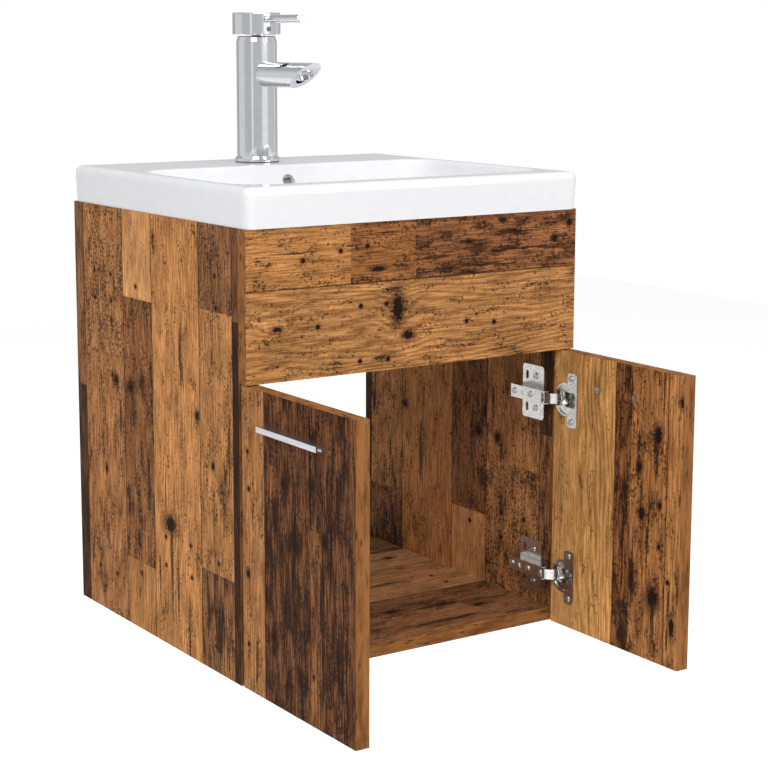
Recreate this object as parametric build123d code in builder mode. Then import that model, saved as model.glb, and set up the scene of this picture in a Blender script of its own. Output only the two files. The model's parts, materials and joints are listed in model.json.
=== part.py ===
from build123d import *

import os
from math import atan2, cos, degrees, radians, sin

# Wall-hung vanity unit: a two-door cabinet, a ceramic basin, its waste and a single-lever mixer.
# Millimetres, +Z up, +X to the right as seen from the room. The wall is the plane Y = 0 and the
# front faces -Y. The origin is midway between the two wall screws, on the wall. The doors stand
# open, square to the front, which is the rest position of every hinge.

# Cabinet boards
cabinet_width = 410
cabinet_height = 460
side_depth = 370
board = 15
front_height = 152
rail_height = 80
wall_screw_drop = 40
wall_screw_spacing = 300
wall_screw_radius = 3.5

# Doors
door_top_gap = 1
door_reveal = 1
door_middle_gap = 2
door_stand_off = 2
open_door_inset = 1
open_door_gap = 3.5

# Cam fittings and dowels that hold the boards together
cam_radius = 7.5
cam_depth = 12.5
cam_reach = 24
cam_bolt_radius = 3
cam_head_radius = 3.2
cam_thread_length = 11
cam_head_length = 5
cam_neck_length = 3
cam_neck_radius = 2
cam_cross = 8
cam_cross_width = 1.6
cam_cross_depth = 2
dowel_radius = 4
dowel_in_face = 10
dowel_in_edge = 20
cam_inset = 45
dowel_inset = 85
snug = 0.05
working_clearance = 0.5

# Concealed hinges: the lower one's height above the door's bottom edge, the upper one's drop
# from its top edge, and the linkage in plan. The four pins are given by radius and angle about
# the pole, the one point that is in the same place on the door when it is shut and open.
lower_hinge_rise = 56.5
upper_hinge_drop = 53
cup_radius = 17.5
cup_edge_distance = 3
cup_depth = 11.5
sheet = 1.2
cup_flange_thickness = 1
cup_wing_height = 60
cup_wing_width = 15.5
cup_wing_offset = 10.5
cup_screw_offset = 8.5
cup_screw_spacing = 48
cup_screw_radius = 1.9
cup_screw_length = 10
cup_mouth_depth = 1.2
cup_pocket_width = 16.4
cup_notch_depth = 4
front_pin_angle = 155.2
front_pin_radius = 22.1
front_link_pole_radius = 6.9
rear_pin_angle = 138.2
rear_pin_radius = 23.1
rear_link_pole_radius = 3.76
hinge_pin_radius = 1.2
link_eye_radius = 2.2
outer_link_width = 11.2
outer_link_sheet = 1.4
outer_link_bow = 5
outer_link_web = 1.5
inner_link_width = 4.4
inner_link_bar = 2
inner_link_bow = 3.9
stub_pin_gap = 6
stub_pin_end = 11
fork_floor = 2
fork_tip = 1.3
fork_side_play = 1.1
fork_prong = 0.7
arm_width = 14.5
arm_height = 15
arm_rear = 55
arm_tip = 3.4
plate_front = 14
plate_rear = 51
plate_height = 60
plate_thickness = 1.5
plate_hole_spacing = 36
plate_screw_inset = 28.8
plate_slot_inset = 43
plate_screw_shank = 1.9
plate_screw_length = 11
arm_screw_insets = (21.6, 49.5)
arm_screw_radius = 2
arm_screw_length = 9
arm_window_inset = 34.5
arm_window = 5

# Handles
handle_length = 107.5
handle_reach = 12
handle_height = 5.5
handle_wall = 2
handle_foot = 6
handle_drop = 34
handle_screw_spacing = 58
handle_screw_radius = 2
handle_thread_depth = 4.5

# Basin
basin_side_overhang = 1
basin_front_overhang = 5
rim_height = 40
rim_draw = 2
skirt = 14
deck_thickness = 14
basin_corner = 10
rim_round = 8
bowl_side_rim = 18
bowl_front = 34
bowl_back = 120
bowl_depth = 120
bowl_side_slope = 38
bowl_floor_front = 55
bowl_floor_back = 180
bowl_wall = 10
bowl_corner = 38
bowl_lip = 5
tap_hole_radius = 17.5
tap_back_distance = 59
overflow_radius = 8.2
overflow_drop = 19
duct_gap = 8
duct_half_width = 12
bridge_height = 12

# Waste
drain_back_distance = 245
drain_hole_radius = 22.5
drain_boss_radius = 38
waste_thread_radius = 21.8
waste_tail_radius = 20.95
waste_tail_length = 38
waste_bore_radius = 17.5
waste_flange_radius = 32
waste_flange_thickness = 2.5
waste_tail_drop = 200
waste_nut_radius = 31
waste_nut_height = 10
waste_seal_thickness = 3
plug_radius = 30.5
plug_thickness = 4.5
plug_lift = 0.3
plug_stem_radius = 4

# Mixer tap, heights above the basin's deck
tap_base_radius = 25.85
tap_base_height = 4
tap_radius = 23.25
tap_neck_radius = 21.5
tap_shoulder = 137
tap_top = 143
tap_bore_radius = 18
tap_floor = 100
gasket_thickness = 1
spout_height = 100
spout_radius = 14
spout_bore_radius = 7
spout_bore_drop = 2
spout_seat = 21
spout_reach = 129
water_hole_radius = 3
outlet_tilt = 31
aerator_radius = 11
aerator_length = 9
inlet_radius = 4.5
inlet_depth = 12
inlet_spread = 8.5
inlet_setback = 4
tap_web = 4
stud_radius = 4
stud_setback = 11
stud_length = 70
washer_thickness = 4
washer_radius = 22
cap_radius = 27.5
cap_bottom = 144
cap_top = 169.4
cap_wall = 2.5
lever_radius = 4.5
lever_height = 162
lever_reach = 98
lift_axis_height = 133
cartridge_top = 131
cartridge_seat = 116
nut_height = 5
spindle_radius = 12
spindle_top = 138
slot_floor = 122
trunnion_radius = 2.5
running_gap = 0.05
lever_stem = 8
stem_bottom = 124
stem_top = 160
cap_ceiling = 164
boss_bottom_height = 150
index_height = 151
index_radius = 3

# Places worked out from the sizes above
top_z = wall_screw_drop
base_z = top_z - cabinet_height
rim_z = top_z + rim_height
half = cabinet_width / 2
inner = half - board
front_edge = -side_depth
front_bottom_z = top_z - front_height
door_height = cabinet_height - front_height - door_top_gap
door_width = half - door_reveal - door_middle_gap / 2
hinge_heights = {"lower": lower_hinge_rise, "upper": door_height - upper_hinge_drop}
basin_width = cabinet_width + 2 * basin_side_overhang
basin_depth = side_depth + board + basin_front_overhang
bowl_half_width = basin_width / 2 - bowl_side_rim
bowl_floor_half_width = bowl_half_width - bowl_side_slope
drain_y = -drain_back_distance
tap_y = -tap_back_distance

CENTRE_MIN = (Align.CENTER, Align.CENTER, Align.MIN)
CENTRE_MAX = (Align.CENTER, Align.CENTER, Align.MAX)
parts = {}


def keep(part, name):
    """Name a finished sub-part and file it for export."""
    part.label = name
    parts[name] = part


def mirrored(part):
    """The left-hand twin of a right-hand sub-part."""
    with BuildPart() as twin:
        mirror(part, about=Plane.YZ)
    return twin.part


# Fastener places: local Z runs from the joint's face into the board that holds the cam, and
# local X points at the open side of the cam.
def fastener(x, y, z, z_dir, x_dir):
    return Plane(origin=(x, y, z), x_dir=x_dir, z_dir=z_dir).location


bottom_z = base_z + board / 2
rail_cam_z = top_z - rail_height / 4
rail_dowel_z = top_z - 3 * rail_height / 4
front_middle_z = top_z - front_height / 2
cam_places = []
dowel_places = []
for hand in (1, -1):
    inward = (-hand, 0, 0)
    for y in (front_edge + cam_inset, -cam_inset):
        cam_places.append(fastener(hand * inner, y, bottom_z, inward, (0, 0, -1)))
    for y in (front_edge + dowel_inset, -dowel_inset):
        dowel_places.append(fastener(hand * inner, y, bottom_z, inward, (0, 0, -1)))
    cam_places.append(fastener(hand * inner, -board / 2, rail_cam_z, inward, (0, -1, 0)))
    dowel_places.append(fastener(hand * inner, -board / 2, rail_dowel_z, inward, (0, -1, 0)))
    edge_x = hand * (half - board / 2)
    cam_places.append(fastener(edge_x, front_edge, front_middle_z, (0, 1, 0), inward))
    for z in (front_middle_z - cam_inset, front_middle_z + cam_inset):
        dowel_places.append(fastener(edge_x, front_edge, z, (0, 1, 0), inward))

cam_offset = Location((board / 2, 0, cam_reach), (0, 90, 0))


def drill_fastenings():
    """Cut every cam and dowel hole that falls inside the board being made."""
    for place in cam_places:
        with Locations(place):
            Cylinder(cam_bolt_radius, cam_thread_length, align=CENTRE_MAX, mode=Mode.SUBTRACT)
            Cylinder(cam_bolt_radius + working_clearance, cam_reach, align=CENTRE_MIN,
                     mode=Mode.SUBTRACT)
        with Locations(place * cam_offset):
            Cylinder(cam_radius, cam_depth, align=CENTRE_MAX, mode=Mode.SUBTRACT)
    for place in dowel_places:
        with Locations(place):
            Cylinder(dowel_radius, dowel_in_face, align=CENTRE_MAX, mode=Mode.SUBTRACT)
            Cylinder(dowel_radius, dowel_in_edge, align=CENTRE_MIN, mode=Mode.SUBTRACT)


# Hinge geometry in plan: x is measured from the cabinet's outer face and y from the front edge
# of the side panel, both for the right-hand door.
door_inner_x = -(board + open_door_inset)
pole_sum = door_inner_x - door_stand_off
pole_difference = open_door_gap - door_reveal
pole_x = (pole_sum + pole_difference) / 2
pole_y = (pole_sum - pole_difference) / 2


def about_pole(radius, angle):
    return pole_x + radius * cos(radians(angle)), pole_y + radius * sin(radians(angle))


# The link pins on the door stand half the swing, 45 degrees, past the pins on the arm.
half_swing = 45
front_arm_pin = about_pole(front_pin_radius, front_pin_angle)
front_cup_pin = about_pole(front_link_pole_radius, front_pin_angle + half_swing)
rear_arm_pin = about_pole(rear_pin_radius, rear_pin_angle)
rear_cup_pin = about_pole(rear_link_pole_radius, rear_pin_angle + half_swing)
cup_y = -(open_door_gap + cup_edge_distance + cup_radius)
cup_screw_y = cup_y - cup_screw_offset
rear_pin_reach = rear_cup_pin[1] - cup_y + hinge_pin_radius
rear_pin_length = 2 * ((cup_radius - snug) ** 2 - rear_pin_reach**2) ** 0.5
arm_web_x = -(board + arm_height)
arm_web_front = front_arm_pin[1] + link_eye_radius + working_clearance
plate_face_x = -(board + plate_thickness)


def plan(point):
    """A point of the right-hand hinge plan, in the unit's own frame."""
    return half + point[0], front_edge + point[1]


def hinge_levels(*offsets):
    """Heights of both hinges, each with the given offsets."""
    return [base_z + height + offset for height in hinge_heights.values() for offset in offsets]


def across(x, y, z, direction=(1, 0, 0)):
    """A plane at a plan point whose normal lies along the given direction."""
    px, py = plan((x, y))
    return Plane(origin=(px, py, z), x_dir=(0, 0, 1), z_dir=direction)


def upright_pin(point, z, radius, length, mode=Mode.ADD):
    px, py = plan(point)
    with Locations((px, py, z)):
        Cylinder(radius, length, mode=mode)


# Boards
def side_panel():
    """Right-hand side, drilled for fittings and for both hinge plates."""
    with BuildPart() as side:
        with Locations((half, 0, base_z)):
            Box(board, side_depth, cabinet_height, align=(Align.MAX, Align.MAX, Align.MIN))
        drill_fastenings()
        for z in hinge_levels(-plate_hole_spacing / 2, plate_hole_spacing / 2):
            for inset in (plate_screw_inset, plate_slot_inset):
                with Locations(across(-board, inset, z).location):
                    Cylinder(plate_screw_shank, plate_screw_length, align=CENTRE_MIN,
                             mode=Mode.SUBTRACT)
    return side.part


right_side = side_panel()
keep(right_side, "right_side_panel")
keep(mirrored(right_side), "left_side_panel")

with BuildPart() as bottom_panel:
    with Locations((0, 0, base_z)):
        Box(2 * inner, side_depth, board, align=(Align.CENTER, Align.MAX, Align.MIN))
    drill_fastenings()
keep(bottom_panel.part, "bottom_panel")

with BuildPart() as front_panel:
    with Locations((0, front_edge, front_bottom_z)):
        Box(cabinet_width, board, front_height, align=(Align.CENTER, Align.MAX, Align.MIN))
    drill_fastenings()
keep(front_panel.part, "front_panel")

with BuildPart() as hanging_rail:
    with Locations((0, 0, top_z)):
        Box(2 * inner, board, rail_height, align=(Align.CENTER, Align.MAX, Align.MAX))
    drill_fastenings()
    with Locations(Plane.XZ.location):
        with Locations((wall_screw_spacing / 2, 0), (-wall_screw_spacing / 2, 0)):
            Cylinder(wall_screw_radius, 2 * board, mode=Mode.SUBTRACT)
keep(hanging_rail.part, "hanging_rail")

# Cam bolts: thread, collar, neck and the round head that the cam draws in
cam_collar_length = cam_reach - cam_head_length / 2 - cam_neck_length
with BuildPart() as cam_bolts:
    for place in cam_places:
        with Locations(place):
            Cylinder(cam_bolt_radius - snug, cam_thread_length - snug, align=CENTRE_MAX)
            Cylinder(cam_bolt_radius, cam_collar_length, align=CENTRE_MIN)
        with Locations(place * Location((0, 0, cam_collar_length))):
            Cylinder(cam_neck_radius, cam_neck_length, align=CENTRE_MIN)
        with Locations(place * Location((0, 0, cam_reach))):
            Cylinder(cam_head_radius, cam_head_length)
keep(cam_bolts.part, "cam_bolts")

# Cam locks: a disc with a cross recess, slotted for the bolt's head
slot_width = 2 * (cam_head_radius + snug)
with BuildPart() as cam_locks:
    for place in cam_places:
        with Locations(place * cam_offset):
            Cylinder(cam_radius - snug, cam_depth - snug, align=CENTRE_MAX)
            for long_side, short_side in ((cam_cross, cam_cross_width), (cam_cross_width, cam_cross)):
                Box(long_side, short_side, cam_cross_depth, align=CENTRE_MAX, mode=Mode.SUBTRACT)
        with Locations(place * Location((0, 0, cam_reach - cam_radius))):
            Box(slot_width, slot_width, cam_radius + cam_head_length / 2 + snug, align=CENTRE_MIN,
                mode=Mode.SUBTRACT)
keep(cam_locks.part, "cam_locks")

with BuildPart() as wood_dowels:
    for place in dowel_places:
        with Locations(place * Location((0, 0, -dowel_in_face))):
            Cylinder(dowel_radius - snug, dowel_in_face + dowel_in_edge, align=CENTRE_MIN)
keep(wood_dowels.part, "wood_dowels")


# Hinges
def hinge_plate(z):
    """Wing plate screwed to the side panel, with the raised block that carries the arm."""
    wing_length = plate_rear - plate_front
    wing_middle = (plate_rear + plate_front) / 2
    with BuildPart() as plate:
        with BuildSketch(across(-board, wing_middle, z, (-1, 0, 0))):
            RectangleRounded(plate_height, wing_length, 4)
        extrude(amount=plate_thickness)
        block_length = arm_rear - plate_front - 2
        with Locations(across(plate_face_x, plate_front + block_length / 2, z, (-1, 0, 0)).location):
            Box(arm_width - 2 * sheet - 2 * snug, block_length, arm_height - plate_thickness - sheet,
                align=CENTRE_MIN)
        for offset in (-plate_hole_spacing / 2, plate_hole_spacing / 2):
            with Locations(across(plate_face_x, plate_screw_inset, z + offset, (-1, 0, 0)).location):
                Cylinder(plate_screw_shank, 2 * plate_thickness, mode=Mode.SUBTRACT)
            with BuildSketch(across(plate_face_x, plate_slot_inset, z + offset, (-1, 0, 0))):
                SlotOverall(10, 4.6)
            extrude(amount=-plate_thickness, mode=Mode.SUBTRACT)
        for inset in arm_screw_insets:
            with Locations(across(arm_web_x + sheet, inset, z, (-1, 0, 0)).location):
                Cylinder(arm_screw_radius, arm_screw_length, align=CENTRE_MAX, mode=Mode.SUBTRACT)
    return plate.part


def hinge_arm(z):
    """U-shaped arm over the plate's block. Its tip is two ears, open between them for the links."""
    tip_y = front_arm_pin[1] - arm_tip
    tip_floor_x = front_arm_pin[0] + arm_tip
    side_view = [(arm_web_x, tip_y), (tip_floor_x, tip_y), (tip_floor_x, 0.5),
                 (plate_face_x - working_clearance, 12), (plate_face_x - working_clearance, arm_rear),
                 (arm_web_x, arm_rear)]
    with BuildPart() as arm:
        with BuildSketch(Plane.XY.offset(z - arm_width / 2)):
            with BuildLine():
                Polyline(*[plan(point) for point in side_view], close=True)
            make_face()
        extrude(amount=arm_width)
        channel_x, _ = plan((arm_web_x + sheet, 0))
        with Locations((channel_x, front_edge, z)):
            Box(2 * arm_height, 4 * arm_rear, arm_width - 2 * sheet,
                align=(Align.MIN, Align.CENTER, Align.CENTER), mode=Mode.SUBTRACT)
        tip_x, web_front_y = plan((arm_web_x, arm_web_front))
        with Locations((tip_x, web_front_y, z)):
            Box(2 * sheet, 2 * arm_tip + arm_web_front, arm_width - 2 * sheet,
                align=(Align.CENTER, Align.MAX, Align.CENTER), mode=Mode.SUBTRACT)
        for inset in arm_screw_insets:
            with Locations(across(arm_web_x, inset, z, (-1, 0, 0)).location):
                Cylinder(arm_screw_radius + snug, 3 * sheet, mode=Mode.SUBTRACT)
        with Locations(across(arm_web_x, arm_window_inset, z, (-1, 0, 0)).location):
            Box(arm_window, arm_window, 3 * sheet, mode=Mode.SUBTRACT)
        for pin in (front_arm_pin, rear_arm_pin):
            upright_pin(pin, z, hinge_pin_radius, 2 * arm_width, Mode.SUBTRACT)
    return arm.part


def between(start, end, share, bow):
    """A point along the line from start to end, moved off it towards the room by bow."""
    dx, dy = end[0] - start[0], end[1] - start[1]
    length = (dx * dx + dy * dy) ** 0.5
    return (start[0] + share * dx + bow * dy / length, start[1] + share * dy - bow * dx / length)


def curved_bar(start, middle, end, thickness):
    """A bar of constant thickness with round ends along an arc in plan."""
    with BuildLine(mode=Mode.PRIVATE) as path:
        ThreePointArc(plan(start), plan(middle), plan(end))
    SlotArc(path.edges()[0], thickness)


def hinge_outer_link(z):
    """Front link: two curved cheeks joined by a web, pinned to the arm's tip and to the cup."""
    start, end = front_arm_pin, front_cup_pin
    half_width = outer_link_width / 2
    with BuildPart() as link:
        with BuildSketch(Plane.XY.offset(z - half_width)):
            curved_bar(start, between(start, end, 0.5, outer_link_bow), end, 2 * link_eye_radius)
        extrude(amount=outer_link_width)
        with BuildSketch(Plane.XY.offset(z - half_width + outer_link_sheet)):
            curved_bar(start, between(start, end, 0.5, outer_link_bow - outer_link_web), end,
                       2 * (link_eye_radius + snug))
            with Locations(plan(start), plan(end)):
                Circle(2 * link_eye_radius)
        extrude(amount=outer_link_width - 2 * outer_link_sheet, mode=Mode.SUBTRACT)
        for pin in (start, end):
            upright_pin(pin, z, hinge_pin_radius + running_gap, 2 * arm_width, Mode.SUBTRACT)
    return link.part


def hinge_inner_link(z):
    """Rear link: a bar pinned to the cup. Its open fork straddles the rear pin of the arm."""
    start, end = rear_cup_pin, rear_arm_pin
    fork_radius = hinge_pin_radius + fork_side_play
    fork_turn = degrees(atan2(end[1] - start[1], end[0] - start[0]))
    with BuildPart() as link:
        with BuildSketch(Plane.XY.offset(z - inner_link_width / 2)):
            curved_bar(start, between(start, end, 0.5, -inner_link_bow), end, inner_link_bar)
            with Locations(plan(start)):
                Circle(link_eye_radius)
            fork_x, fork_y = plan(end)
            with Locations(Location((fork_x, fork_y, 0), (0, 0, fork_turn))):
                with Locations((-fork_floor - hinge_pin_radius, 0)):
                    Rectangle(fork_floor + hinge_pin_radius + fork_tip,
                              2 * (fork_radius + fork_prong), align=(Align.MIN, Align.CENTER))
                with Locations((-fork_floor, 0)):
                    Rectangle(4 * fork_floor, 2 * fork_radius, align=(Align.MIN, Align.CENTER),
                              mode=Mode.SUBTRACT)
        extrude(amount=inner_link_width)
        upright_pin(start, z, hinge_pin_radius + running_gap, 2 * arm_width, Mode.SUBTRACT)
    return link.part


def hinge_cup(z):
    """Pressed cup let into the door, with a rim and two screw wings on the door's inner face."""
    with BuildPart() as cup:
        with Locations(across(door_inner_x, cup_y, z).location):
            Cylinder(cup_radius - snug, cup_depth, align=CENTRE_MIN)
        with BuildSketch(across(door_inner_x, cup_y, z, (-1, 0, 0))):
            Circle(cup_radius + 0.8)
            with Locations((0, -cup_wing_offset)):
                RectangleRounded(cup_wing_height, cup_wing_width, 4)
        extrude(amount=cup_flange_thickness)
        mouth = across(door_inner_x - cup_flange_thickness, cup_y, z)
        with Locations(mouth.location):
            Cylinder(cup_radius - sheet, cup_mouth_depth, align=CENTRE_MIN, mode=Mode.SUBTRACT)
        with BuildSketch(mouth):
            Circle(cup_radius - sheet)
            Rectangle(cup_pocket_width, 3 * cup_radius, mode=Mode.INTERSECT)
        extrude(amount=cup_depth + cup_flange_thickness - sheet, mode=Mode.SUBTRACT)
        with Locations((mouth.location * Location((0, -cup_radius / 2, 0)))):
            Box(cup_pocket_width, cup_radius, cup_notch_depth,
                align=(Align.CENTER, Align.MAX, Align.MIN), mode=Mode.SUBTRACT)
        for offset in (-cup_screw_spacing / 2, cup_screw_spacing / 2):
            with Locations(across(door_inner_x, cup_screw_y, z + offset).location):
                Cylinder(cup_screw_radius, 4 * cup_flange_thickness, mode=Mode.SUBTRACT)
        upright_pin(front_cup_pin, z, hinge_pin_radius, 2 * stub_pin_end, Mode.SUBTRACT)
        upright_pin(rear_cup_pin, z, hinge_pin_radius, rear_pin_length, Mode.SUBTRACT)
    return cup.part


def countersunk_screw(place, shank, head, length, rise=1.2):
    """Cross-head screw: local Z points out of the head, the origin is where the head seats."""
    with Locations(place):
        Cylinder(shank - snug, length, align=CENTRE_MAX)
        Cylinder(head, rise, align=CENTRE_MIN)
    with Locations(place * Location((0, 0, rise))):
        for long_side, short_side in ((1.3 * head, 0.3 * head), (0.3 * head, 1.3 * head)):
            Box(long_side, short_side, rise, mode=Mode.SUBTRACT)


for level_name, height in hinge_heights.items():
    z = base_z + height
    for piece, make in (("hinge_plate", hinge_plate), ("hinge_arm", hinge_arm),
                        ("outer_link", hinge_outer_link), ("inner_link", hinge_inner_link),
                        ("hinge_cup", hinge_cup)):
        right_piece = make(z)
        keep(right_piece, f"right_{level_name}_{piece}")
        keep(mirrored(right_piece), f"left_{level_name}_{piece}")

with BuildPart() as plate_screws:
    for z in hinge_levels(-plate_hole_spacing / 2, plate_hole_spacing / 2):
        place = across(plate_face_x, plate_screw_inset, z, (-1, 0, 0)).location
        countersunk_screw(place, plate_screw_shank, 3.6, plate_screw_length)
    mirror(about=Plane.YZ)
keep(plate_screws.part, "hinge_plate_screws")

with BuildPart() as arm_screws:
    for z in hinge_levels(0):
        for inset in arm_screw_insets:
            place = across(arm_web_x, inset, z, (-1, 0, 0)).location
            countersunk_screw(place, arm_screw_radius, 3.4, arm_screw_length)
    mirror(about=Plane.YZ)
keep(arm_screws.part, "hinge_arm_screws")

with BuildPart() as arm_pins:
    for z in hinge_levels(0):
        for pin in (front_arm_pin, rear_arm_pin):
            upright_pin(pin, z, hinge_pin_radius, arm_width)
    mirror(about=Plane.YZ)
keep(arm_pins.part, "hinge_arm_pins")

# The front pin of the cup is two stubs, so that the inner link can swing between them.
with BuildPart() as right_cup_pins:
    for z in hinge_levels(0):
        upright_pin(front_cup_pin, z, hinge_pin_radius, 2 * stub_pin_end)
        with Locations((0, 0, z)):
            Box(2 * cabinet_width, 4 * side_depth, stub_pin_gap, mode=Mode.SUBTRACT)
        upright_pin(rear_cup_pin, z, hinge_pin_radius, rear_pin_length)
keep(right_cup_pins.part, "right_cup_pins")
keep(mirrored(right_cup_pins.part), "left_cup_pins")

with BuildPart() as right_cup_screws:
    for z in hinge_levels(-cup_screw_spacing / 2, cup_screw_spacing / 2):
        place = across(door_inner_x - cup_flange_thickness, cup_screw_y, z, (-1, 0, 0)).location
        countersunk_screw(place, cup_screw_radius, 3.4, cup_screw_length)
keep(right_cup_screws.part, "right_cup_screws")
keep(mirrored(right_cup_screws.part), "left_cup_screws")

# Doors, standing open, with their handles
door_edge_y = front_edge - open_door_gap
door_inner_face = half + door_inner_x
door_outer_face = door_inner_face + board
handle_y = door_edge_y - door_width / 2
handle_top_z = base_z + door_height - handle_drop + handle_height / 2
handle_screw_z = handle_top_z - handle_height / 2
handle_screw_places = [
    Plane(origin=(door_inner_face, handle_y + offset, handle_screw_z), x_dir=(0, 0, 1),
          z_dir=(-1, 0, 0)).location
    for offset in (-handle_screw_spacing / 2, handle_screw_spacing / 2)
]

with BuildPart() as right_door:
    with Locations((door_inner_face, door_edge_y, base_z)):
        Box(board, door_width, door_height, align=(Align.MIN, Align.MAX, Align.MIN))
    for z in hinge_levels(0):
        with Locations(across(door_inner_x, cup_y, z).location):
            Cylinder(cup_radius, cup_depth + snug, align=CENTRE_MIN, mode=Mode.SUBTRACT)
        for offset in (-cup_screw_spacing / 2, cup_screw_spacing / 2):
            with Locations(across(door_inner_x, cup_screw_y, z + offset).location):
                Cylinder(cup_screw_radius, cup_screw_length, align=CENTRE_MIN, mode=Mode.SUBTRACT)
    with Locations(*handle_screw_places):
        Cylinder(handle_screw_radius + working_clearance / 2, 3 * board, mode=Mode.SUBTRACT)
keep(right_door.part, "right_door")
keep(mirrored(right_door.part), "left_door")

# Handle: a rolled lip with a screw foot at the door and a finger groove under it
handle_profile = [(0, 0), (handle_reach, 0), (handle_reach, -handle_height),
                  (handle_reach - handle_wall, -handle_height), (handle_reach - handle_wall, -handle_wall),
                  (handle_foot, -handle_wall), (handle_foot, -handle_height), (0, -handle_height)]
with BuildPart() as right_handle:
    with BuildSketch(Plane(origin=(door_outer_face, handle_y + handle_length / 2, handle_top_z),
                           x_dir=(1, 0, 0), z_dir=(0, -1, 0))):
        with BuildLine():
            Polyline(*handle_profile, close=True)
        make_face()
    extrude(amount=handle_length)
    with Locations(*[place * Location((0, 0, -board)) for place in handle_screw_places]):
        Cylinder(handle_screw_radius, handle_thread_depth, align=CENTRE_MAX, mode=Mode.SUBTRACT)
keep(right_handle.part, "right_handle")
keep(mirrored(right_handle.part), "left_handle")

with BuildPart() as right_handle_screws:
    for place in handle_screw_places:
        countersunk_screw(place, handle_screw_radius, 3.4, board + handle_thread_depth - snug, 1.6)
keep(right_handle_screws.part, "right_handle_screws")
keep(mirrored(right_handle_screws.part), "left_handle_screws")


# Basin
def bowl_section(drop, half_width, front, back, margin=0):
    """Rounded outline of the bowl at a depth below the rim, grown by a margin."""
    depth = basin_depth - front - back + 2 * margin
    with BuildSketch(Plane.XY.offset(rim_z - drop)) as section:
        with Locations((0, -(basin_depth - front + back) / 2)):
            RectangleRounded(2 * (half_width + margin), depth, bowl_corner + margin)
    return section.sketch


def back_wall(drop):
    """Distance of the bowl's sloping back wall from the wall, at a depth below the rim."""
    return -(bowl_back + (bowl_floor_back - bowl_back) * drop / bowl_depth)


duct_top = overflow_drop - overflow_radius - 2
duct_floor = bowl_depth + bowl_wall
duct_wall = bowl_wall - 2
boss_bottom = duct_floor + duct_gap + duct_wall - 2


def duct_outline(near, far, top, ceiling, floor):
    """Side view of the overflow duct: down behind the bowl, then forward to the drain."""
    return [(back_wall(top) + near, rim_z - top), (back_wall(top) + far, rim_z - top),
            (back_wall(floor) + far, rim_z - floor), (drain_y, rim_z - floor),
            (drain_y, rim_z - ceiling), (back_wall(ceiling) + near, rim_z - ceiling)]


def duct_section(points):
    with BuildSketch(Plane.YZ) as section:
        with BuildLine():
            Polyline(*points, close=True)
        make_face()
    return section.sketch


with BuildPart() as basin:
    with BuildSketch(Plane.XY.offset(top_z)):
        with Locations((0, -(basin_depth - rim_draw) / 2)):
            RectangleRounded(basin_width - 2 * rim_draw, basin_depth - rim_draw, basin_corner)
    with BuildSketch(Plane.XY.offset(rim_z)):
        with Locations((0, -basin_depth / 2)):
            RectangleRounded(basin_width, basin_depth, basin_corner)
    loft()
    fillet(basin.faces().sort_by(Axis.Z)[-1].edges(), rim_round)
    with Locations((0, -(basin_depth - rim_draw) / 2, top_z)):
        Box(basin_width - 2 * (rim_draw + skirt), basin_depth - rim_draw - 2 * skirt,
            rim_height - deck_thickness, align=CENTRE_MIN, mode=Mode.SUBTRACT)
    loft([
        bowl_section(bowl_wall, bowl_half_width, bowl_front, bowl_back, bowl_wall),
        bowl_section(bowl_depth + bowl_wall, bowl_floor_half_width, bowl_floor_front,
                     bowl_floor_back, bowl_wall),
    ])
    extrude(duct_section(duct_outline(0, bowl_wall + duct_gap + duct_wall, deck_thickness - 2,
                                      bowl_depth, duct_floor + duct_gap + duct_wall - 2)),
            amount=duct_half_width + duct_wall, both=True)
    with Locations((0, drain_y, rim_z - boss_bottom)):
        Cylinder(drain_boss_radius, boss_bottom - bowl_depth, align=CENTRE_MIN)
    loft([
        bowl_section(0, bowl_half_width, bowl_front, bowl_back),
        bowl_section(bowl_depth, bowl_floor_half_width, bowl_floor_front, bowl_floor_back),
    ], mode=Mode.SUBTRACT)
    lip = basin.faces().filter_by(Plane.XY).sort_by(Axis.Z)[-1].inner_wires()[0].edges()
    fillet(lip, bowl_lip)
    extrude(duct_section(duct_outline(bowl_wall - 2, bowl_wall + duct_gap - 2, duct_top + 4,
                                      duct_floor - 2, duct_floor + duct_gap - 2)),
            amount=duct_half_width, both=True, mode=Mode.SUBTRACT)
    with Locations(Location((0, back_wall(overflow_drop), rim_z - overflow_drop), (90, 0, 0))):
        Cylinder(overflow_radius, 2 * bowl_wall, mode=Mode.SUBTRACT)
    with Locations((0, drain_y, rim_z - bowl_depth)):
        Cylinder(drain_hole_radius, 4 * boss_bottom, mode=Mode.SUBTRACT)
        Cylinder(waste_flange_radius + working_clearance, waste_flange_thickness,
                 align=CENTRE_MAX, mode=Mode.SUBTRACT)
    with Locations((0, tap_y, rim_z)):
        Cylinder(tap_hole_radius, 3 * deck_thickness, mode=Mode.SUBTRACT)
keep(basin.part, "basin")

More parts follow.
